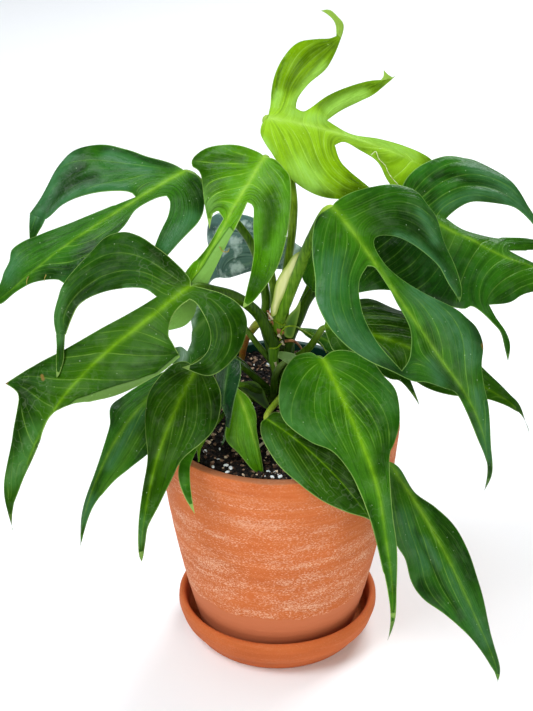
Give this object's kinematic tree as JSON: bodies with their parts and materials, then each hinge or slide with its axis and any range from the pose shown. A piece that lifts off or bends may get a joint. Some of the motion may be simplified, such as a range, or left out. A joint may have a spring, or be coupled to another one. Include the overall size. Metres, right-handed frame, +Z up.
{
  "type": "potted lobed-leaf monstera",
  "caption": "Leafy aroid house plant with deeply lobed drooping leaves, in a plastic grow pot inside a terracotta pot on its saucer.",
  "frame": {"origin": "centre of the saucer's flat underside", "axes": "+Z up, +X to the viewer's right, +Y away from the viewer"},
  "size_m": [0.3849, 0.2127, 0.4155],
  "materials": {
    "terracotta_saucer": "smooth fired terracotta, matt",
    "terracotta_pot": "thrown terracotta, matt, with pale lime bloom",
    "grow_pot_plastic": "moulded dark teal plastic",
    "potting_mix": "loose bark and perlite mix",
    "stem_skin": "smooth green skin",
    "sheath_skin": "papery pale green sheath",
    "mature_leaf": "leathery dark green, satin",
    "young_leaf": "mid green, glossy",
    "new_leaf": "lime green, soft gloss"
  },
  "bodies": {
    "root": {"saucer": "terracotta_saucer", "terracotta_pot": "terracotta_pot", "grow_pot": "grow_pot_plastic", "potting_mix": "potting_mix", "stem": "stem_skin", "leaf_sheath": "sheath_skin", "leaf_upper_left": "mature_leaf", "leaf_left": "mature_leaf", "leaf_middle": "young_leaf", "leaf_new_top": "new_leaf", "leaf_right": "mature_leaf", "leaf_upper_right": "mature_leaf", "leaf_behind_right": "mature_leaf", "leaf_heart_front": "mature_leaf", "leaf_under_heart": "mature_leaf", "leaf_low_right": "mature_leaf", "leaf_heart_left": "mature_leaf", "leaf_low_left": "mature_leaf", "leaf_small_folded": "mature_leaf", "leaf_small_light": "young_leaf", "leaf_over_rim": "young_leaf", "leaf_back": "mature_leaf", "leaf_back_right": "mature_leaf", "leaf_curled": "mature_leaf", "leaf_near_back_rim": "mature_leaf", "leaf_bud": "young_leaf"}
  },
  "joints": []
}
